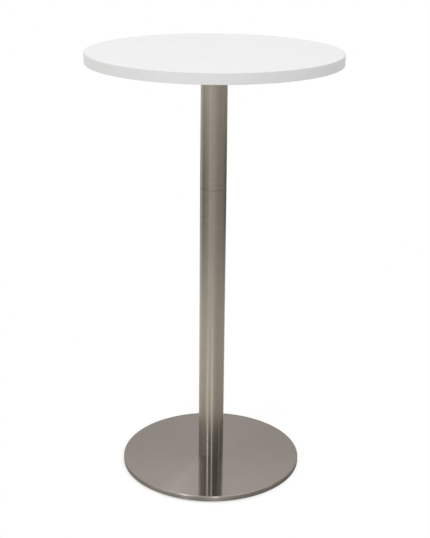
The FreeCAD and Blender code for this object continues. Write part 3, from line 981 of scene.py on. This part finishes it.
def draw_in(start, end, rise=0):
    """Draws the picked sole in from one radius to a smaller one, and may raise it into the glide."""
    bpy.ops.mesh.extrude_region_move(TRANSFORM_OT_translate={"value": (0, 0, rise)})
    bpy.ops.transform.resize(value=(end / start, end / start, 1), center_override=on_foot(SOLE))


def on_sole(point):
    """Tells the flat sole from the round that starts at its edge."""
    return abs(point.z - SOLE) < SOLE_LIMIT


sole_points = [point.co for point in glide.data.vertices if on_sole(point.co)]
SOLE_RADIUS = max(from_glide(point) for point in sole_points)
GROOVE_OUTSIDE = 9.7 * MM
GROOVE_INSIDE = 8.2 * MM
GROOVE_DEPTH = 0.35 * MM
DIMPLE_RADIUS = 2 * MM
DIMPLE_DEPTH = 0.3 * MM
SLOPE = 0.25 * MM
pick(glide, "FACE", lambda middle: on_sole(middle) and from_glide(middle) < DIMPLE_RADIUS)
draw_in(SOLE_RADIUS, GROOVE_OUTSIDE)
draw_in(GROOVE_OUTSIDE, GROOVE_OUTSIDE - SLOPE, GROOVE_DEPTH)
draw_in(GROOVE_OUTSIDE - SLOPE, GROOVE_INSIDE + SLOPE)
draw_in(GROOVE_INSIDE + SLOPE, GROOVE_INSIDE, -GROOVE_DEPTH)
draw_in(GROOVE_INSIDE, DIMPLE_RADIUS)
draw_in(DIMPLE_RADIUS, DIMPLE_RADIUS - SLOPE, DIMPLE_DEPTH)
done()
print("sole radius", round(SOLE_RADIUS / MM, 2), "mm")
all_feet(glide, "glide", "foot_pad", NYLON)

# %% [markdown]
# ## What stays as measured
#
# The plug under the cross, the sleeve in the column, the upper rod with its coupling and lock nut,
# and the bushes in the ballast are out of sight and right in shape. They keep their measured mesh
# and get a finish.

# %% Measured pieces
STAYING = {
    "spider_hub": TURNED,
    # the sleeve's near-black finish is painted shade for the joint line between the tubes
    "column_joiner": GAP_SHADE_STEEL,
    "upper_tie_rod": ZINC,
    "rod_coupler": ZINC,
    "rod_jam_nut": ZINC,
    "foot_inserts": ZINC,
}
for node, finish in STAYING.items():
    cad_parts[node].data.materials.clear()
    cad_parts[node].data.materials.append(finish)
print("measured pieces", ", ".join(STAYING))

# %% [markdown]
# ## The paper floor
#
# A photographer stands such a table on white paper. Near the base the paper keeps the table's soft
# shadow, and further out it is plain white in the picture. Lamps strong enough to burn it out would
# burn out the white top as well. So the paper glows a little where it is seen, by the camera or in
# metal, and fades into plain white between the edge of the base and half a metre from the column.
# On the right it fades sooner, because the photograph shows a shadow only in front. From below it
# is clear, so that the feet can be seen.

# %% Floor
FLOOR_RADIUS = 3.5
PAPER_GLOW = 0.34
FADE_START = 0.23
FADE_END = 0.5
RIGHT_FADE = 0.2
fresh()
bpy.ops.mesh.primitive_circle_add(vertices=96, radius=FLOOR_RADIUS, fill_type="NGON")
floor = named("floor")


def seen_rays(web):
    """1 on the rays that show the surroundings as they are: to the eye, in metal and through glass."""
    rays = ("Is Camera Ray", "Is Glossy Ray", "Is Transmission Ray")
    camera_ray, glossy_ray, clear_ray = (web.node("ShaderNodeLightPath", output=name) for name in rays)
    return (camera_ray + glossy_ray + clear_ray).at_most(1)


def studio_paper():
    finish = Finish("studio_floor", {"Base Color": grey(0.85), "Roughness": 0.9, "Specular IOR Level": 0})
    shown = seen_rays(finish)
    finish.set({"Emission Color": shown * PAPER_GLOW, "Emission Strength": 1})
    lit = Term(finish, finish.shader.outputs[0])
    white = finish.node("ShaderNodeEmission")
    rightward = (finish.x / finish.radius).at_least(0)
    far = ramp(FADE_START, FADE_END, finish.radius + RIGHT_FADE * rightward) * shown
    paper = finish.node("ShaderNodeMixShader", inputs={0: far, 1: lit, 2: white})
    underneath = finish.node("ShaderNodeNewGeometry", output="Backfacing")
    been_through = finish.node("ShaderNodeLightPath", output="Transparent Depth")
    below = (underneath + been_through).at_most(1)
    clear = finish.node("ShaderNodeBsdfTransparent")
    surface = finish.node("ShaderNodeMixShader", inputs={0: below, 1: paper, 2: clear})
    finish.feed(finish.tree.nodes["Material Output"].inputs["Surface"], surface)
    return finish.material


floor.data.materials.append(studio_paper())
print("floor radius", FLOOR_RADIUS, "m")

# %% [markdown]
# ## The white room
#
# Behind the table the picture is pure white. The world is white on the rays that show it, and gives
# the table about half as much light, as pale walls do. A sky texture would bring in colours that
# the photograph lacks.

# %% World
AMBIENT = 0.56
world = bpy.data.worlds.new("studio")
bpy.context.scene.world = world
world.use_nodes = True
air = Web(world.node_tree)
sky = world.node_tree.nodes["Background"]
air.feed(sky.inputs["Color"], grey(1))
air.feed(sky.inputs["Strength"], seen_rays(air) * (1 - AMBIENT) + AMBIENT)
print("room light", AMBIENT)

# %% [markdown]
# ## The lamps
#
# Round metal is a map of its lamps. Each bright line at the column's foot is a mirrored lamp, and
# how far round the column it lies gives that lamp's direction. A wide box overhead lights the white
# top. Two upright strips, left of the camera and beside it, draw the two lines, a small lamp behind
# draws the pale fan on the disc, and one at the far right lifts the column's dark side. Lamps that
# are for the metal alone give the white pieces no light.

# %% Lamps
def soft_lamp(name, azimuth, elevation, distance, width, height, radiance):
    """Aims a soft box at the foot of the table. Azimuth 0 is at the camera, and it grows to the right."""
    lamp = bpy.data.lights.new(name, "AREA")
    lamp.shape = "RECTANGLE"
    lamp.size = width
    lamp.size_y = height
    lamp.energy = radiance * math.pi * width * height
    holder = bpy.data.objects.new(name, lamp)
    bpy.context.scene.collection.objects.link(holder)
    turn = math.radians(azimuth)
    rise = math.radians(elevation)
    outward = Vector((math.cos(rise) * math.sin(turn), -math.cos(rise) * math.cos(turn), math.sin(rise)))
    holder.location = outward * distance
    holder.rotation_euler = outward.to_track_quat("Z", "Y").to_euler()
    holder.visible_camera = False
    return holder


KEY_AZIMUTH = -33
NEAR_AZIMUTH = 7
STRIP_RISE = 33
STRIP_HEIGHT = 4.2
LAMP_DISTANCE = 6


def strip_lamp(name, azimuth, width, radiance):
    """One of the upright strips, which differ only in direction, width and level."""
    return soft_lamp(name, azimuth, STRIP_RISE, LAMP_DISTANCE, width, STRIP_HEIGHT, radiance)


lamps = (
    soft_lamp("overhead", azimuth=0, elevation=90, distance=3.2, width=3.2, height=3.2, radiance=0.88),
    strip_lamp("key", KEY_AZIMUTH, width=0.8, radiance=4.4),
    strip_lamp("near_camera", NEAR_AZIMUTH, width=0.5, radiance=4.8),
    soft_lamp("behind", azimuth=-169, elevation=50, distance=5, width=0.3, height=1.2, radiance=2.9),
)
metal_lamps = (
    strip_lamp("key_edge", KEY_AZIMUTH, width=0.95, radiance=1),
    strip_lamp("near_edge", NEAR_AZIMUTH, width=0.65, radiance=1),
    soft_lamp(
        "far_right", azimuth=80, elevation=27, distance=LAMP_DISTANCE, width=0.5, height=2, radiance=2),
)
for lamp in metal_lamps:
    lamp.visible_diffuse = False
print("lamps", len(lamps), "and for metal", len(metal_lamps))

# %% [markdown]
# ## What the metal mirrors
#
# The colour of brushed steel is mostly the room's. The column looks down at the floor in front of
# it, the disc looks up at the wall behind, and both look at each other. Studios set pale and dark
# cards round a table for that. Here two large cards stand in for the room, a floor and a round
# wall, and only the metal sees them. The floor card lies just above the paper. It is open under the
# base, so that the ballast doesn't mirror it.

# %% Room floor
ROOM_RADIUS = 7.9
BASE_SPOT = 0.23
ABOVE_PAPER = 2 * MM


def only_metal_sees(piece):
    piece.visible_camera = False
    piece.visible_diffuse = False
    piece.visible_shadow = False


fresh()
bpy.ops.mesh.primitive_circle_add(
    vertices=96, radius=ROOM_RADIUS, fill_type="NGON", location=(0, 0, ABOVE_PAPER))
ground = named("room_floor")
pick(ground, "FACE", lambda middle: True)
bpy.ops.mesh.inset(thickness=ROOM_RADIUS - BASE_SPOT)
bpy.ops.mesh.delete(type="FACE")
done()
only_metal_sees(ground)
print("room floor", len(ground.data.polygons), "faces")

# %% [markdown]
# The floor card is bright, darker on the right, with a dark ring from one to five metres away, two
# gleams that the strips draw towards the table, and the table's own shadow. Its levels are sums of
# straight ramps, which the brushed finish smears into each other. A pair of numbers is where a ramp
# starts and ends.

# %% Light on the room floor
LIT_FLOOR = 1.13
RIGHT_LOSS = 0.36
LEFT_LOSS = 0.11
RIGHT_BACK_LOSS = 0.22
DARK_RING = 0.8
RING_INSIDE = (1.1, 2.4)
RING_OUTSIDE = (4.8, 3.4)
LEFT_DEEPER = 0.3
RIGHT_FAINTER = 0.26
FRONT_DEEPER = 0.1
PAPER_FAINTER = 0.7
KEY_GLEAM = 0.75
NEAR_GLEAM = 0.9
OPEN_FLOOR = 0.98
SOFT_EDGE = (0.725, 0.225)
SOFT_DEPTH = 0.26
TIGHT_EDGE = (0.27, 0.225)
TIGHT_DEPTH = 0.6
LEAST_SHADE = 0.02
ROOM_TINT = (1.065, 1, 0.91, 1)
carpet = Finish("room_floor", {"Base Color": grey(0), "Roughness": 1, "Specular IOR Level": 0})
rightward = carpet.x / carpet.radius
backward = carpet.y / carpet.radius


def gleam(azimuth, spread):
    """The stripe that a lamp draws on the polished floor, from the table outward."""
    turn = math.radians(azimuth)
    edge = math.cos(math.radians(spread))
    straight = rightward * math.sin(turn) - backward * math.cos(turn)
    return ((straight - edge) / (1 - edge)).at_least(0)


right = ramp(0.02, 0.77, rightward)
left = ramp(-0.4, -0.77, rightward)
ring = ramp(*RING_INSIDE, carpet.radius).at_most(ramp(*RING_OUTSIDE, carpet.radius))
paper_behind = left * ramp(0.15, 0.5, backward)
close = ramp(1, 0.2, carpet.radius)
in_soft = ramp(*SOFT_EDGE, carpet.radius)
in_tight = ramp(*TIGHT_EDGE, carpet.radius)
lit = LIT_FLOOR - RIGHT_LOSS * right - LEFT_LOSS * left - RIGHT_BACK_LOSS * right * backward.at_least(0)
in_front = gleam(azimuth=8, spread=18)
ring_depth = DARK_RING + LEFT_DEEPER * left - RIGHT_FAINTER * right + FRONT_DEEPER * in_front
dark = ring * (1 - PAPER_FAINTER * paper_behind) * ring_depth
stripes = KEY_GLEAM * gleam(azimuth=-38, spread=15) + NEAR_GLEAM * gleam(azimuth=5, spread=12)
own_shadow = (OPEN_FLOOR - SOFT_DEPTH * in_soft) * (1 - TIGHT_DEPTH * in_tight)
shade = (lit - dark + close * (1 - in_tight) * stripes).at_least(LEAST_SHADE) * own_shadow
carpet.set({"Emission Color": carpet.tinted(shade, ROOM_TINT), "Emission Strength": 1})
ground.data.materials.append(carpet.material)
print("room floor lit", carpet.material.name)

# %% [markdown]
# The wall is a round drum. It is pale at its foot, most of all in front, and again high up at the
# back. The pale foot stands higher on the left and lower on the right. On the left in front the
# wall has the strongest contrast, which draws the dark and the light flank of the column's foot.

# %% Room wall
WALL_RADIUS = 8
WALL_HEIGHT = 9
WALL_LEVEL = 0.345
BACK_GAIN = 0.25
RIGHT_FALL = 0.02
FOOT_HEIGHT = 3
FOOT_BLEND = 1.5
FOOT_LEFT_SLOPE = 0.19
FOOT_RIGHT_SLOPE = 0.08
FOOT_GLOW = 0.78
FOOT_BACK_LOSS = 0.5
HIGH_BLEND = (3.2, 5.6)
HIGH_GLOW = 0.05
HIGH_BACK_GAIN = 0.29
FLANK_GLOW = 0.6
FLANK_DARK = 0.17
WALL_TINT = (1.075, 1, 0.96, 1)
fresh()
bpy.ops.mesh.primitive_cylinder_add(
    vertices=64, radius=WALL_RADIUS, depth=WALL_HEIGHT, end_fill_type="NOTHING",
    location=(0, 0, WALL_HEIGHT / 2))
wall = named("studio_wall")
paint = Finish("studio_wall", {"Base Color": grey(0), "Roughness": 1, "Specular IOR Level": 0})
to_left = paint.x.at_most(0)
to_right = paint.x.at_least(0)
foot_top = FOOT_HEIGHT - FOOT_LEFT_SLOPE * to_left - FOOT_RIGHT_SLOPE * to_right
at_foot = ramp(0, FOOT_BLEND, foot_top - paint.z)
high_up = ramp(*HIGH_BLEND, paint.z)
back = paint.y / (2 * WALL_RADIUS) + 0.5
left_front = ramp(0, -5, paint.x) * ramp(0, -3, paint.y)
level = (
    WALL_LEVEL + BACK_GAIN * back - RIGHT_FALL * to_right
    + at_foot * (FOOT_GLOW - FOOT_BACK_LOSS * back)
    + high_up * (HIGH_GLOW + HIGH_BACK_GAIN * back)
    + left_front * (FLANK_GLOW * at_foot - FLANK_DARK)
)
paint.set({"Emission Color": paint.tinted(level, WALL_TINT), "Emission Strength": 1})
wall.data.materials.append(paint.material)
only_metal_sees(wall)
print("wall", WALL_HEIGHT, "m high")
